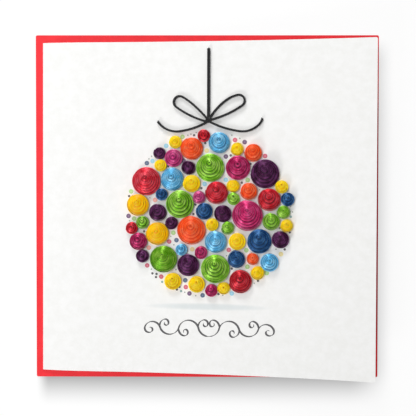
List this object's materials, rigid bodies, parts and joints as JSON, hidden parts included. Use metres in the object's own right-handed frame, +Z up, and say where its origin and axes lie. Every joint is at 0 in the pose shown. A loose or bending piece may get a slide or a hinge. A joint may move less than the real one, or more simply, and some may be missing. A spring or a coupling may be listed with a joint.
{
  "type": "quilled paper greeting card",
  "caption": "Square folded greeting card on a red backing sheet, its front leaf carrying a round bauble of domed quilled paper coils under a black paper bow.",
  "frame": {"origin": "middle of the backing sheet's underside, on the surface it lies on", "axes": "+Z up out of the picture, +Y to the picture's top, +X from the card's fold to its free edge"},
  "size_m": [0.165, 0.165, 0.0174],
  "materials": {
    "red_card": "matte red card",
    "white_card": "lightly textured white card",
    "black_strip": "black paper strip on edge",
    "red_paper": "wound paper strip, edges showing",
    "light_blue_paper": "wound paper strip, edges showing",
    "yellow_paper": "wound paper strip, edges showing",
    "orange_paper": "wound paper strip, edges showing",
    "purple_paper": "wound paper strip, edges showing",
    "pink_paper": "wound paper strip, edges showing",
    "green_paper": "wound paper strip, edges showing",
    "magenta_paper": "wound paper strip, edges showing",
    "navy_paper": "wound paper strip, edges showing"
  },
  "bodies": {
    "root": {"red_backing": "red_card", "folded_card": "white_card", "bow_knot": "black_strip", "bow_stem": "black_strip", "bow_left_loop": "black_strip", "bow_right_loop": "black_strip", "bow_left_tail": "black_strip", "bow_right_tail": "black_strip", "green_coil_1": "green_paper", "green_coil_2": "green_paper", "green_coil_3": "green_paper", "green_coil_4": "green_paper", "green_coil_5": "green_paper", "light_blue_coil_1": "light_blue_paper", "light_blue_coil_2": "light_blue_paper", "light_blue_coil_3": "light_blue_paper", "light_blue_coil_4": "light_blue_paper", "magenta_coil_1": "magenta_paper", "magenta_coil_2": "magenta_paper", "magenta_coil_3": "magenta_paper", "navy_coil_1": "navy_paper", "navy_coil_2": "navy_paper", "navy_coil_3": "navy_paper", "orange_coil_1": "orange_paper", "orange_coil_2": "orange_paper", "orange_coil_3": "orange_paper", "orange_coil_4": "orange_paper", "pink_coil_1": "pink_paper", "purple_coil_1": "purple_paper", "purple_coil_2": "purple_paper", "purple_coil_3": "purple_paper", "purple_coil_4": "purple_paper", "purple_coil_5": "purple_paper", "red_coil_1": "red_paper", "red_coil_2": "red_paper", "red_coil_3": "red_paper", "red_coil_4": "red_paper", "small_green_coils": "green_paper", "small_light_blue_coil": "light_blue_paper", "small_magenta_coils": "magenta_paper", "small_navy_coils": "navy_paper", "small_orange_coil": "orange_paper", "small_pink_coil": "pink_paper", "small_purple_coils": "purple_paper", "small_red_coils": "red_paper", "small_yellow_coils": "yellow_paper", "yellow_coil_1": "yellow_paper", "yellow_coil_2": "yellow_paper", "yellow_coil_3": "yellow_paper", "yellow_coil_4": "yellow_paper", "yellow_coil_5": "yellow_paper", "yellow_coil_6": "yellow_paper"}
  },
  "joints": []
}
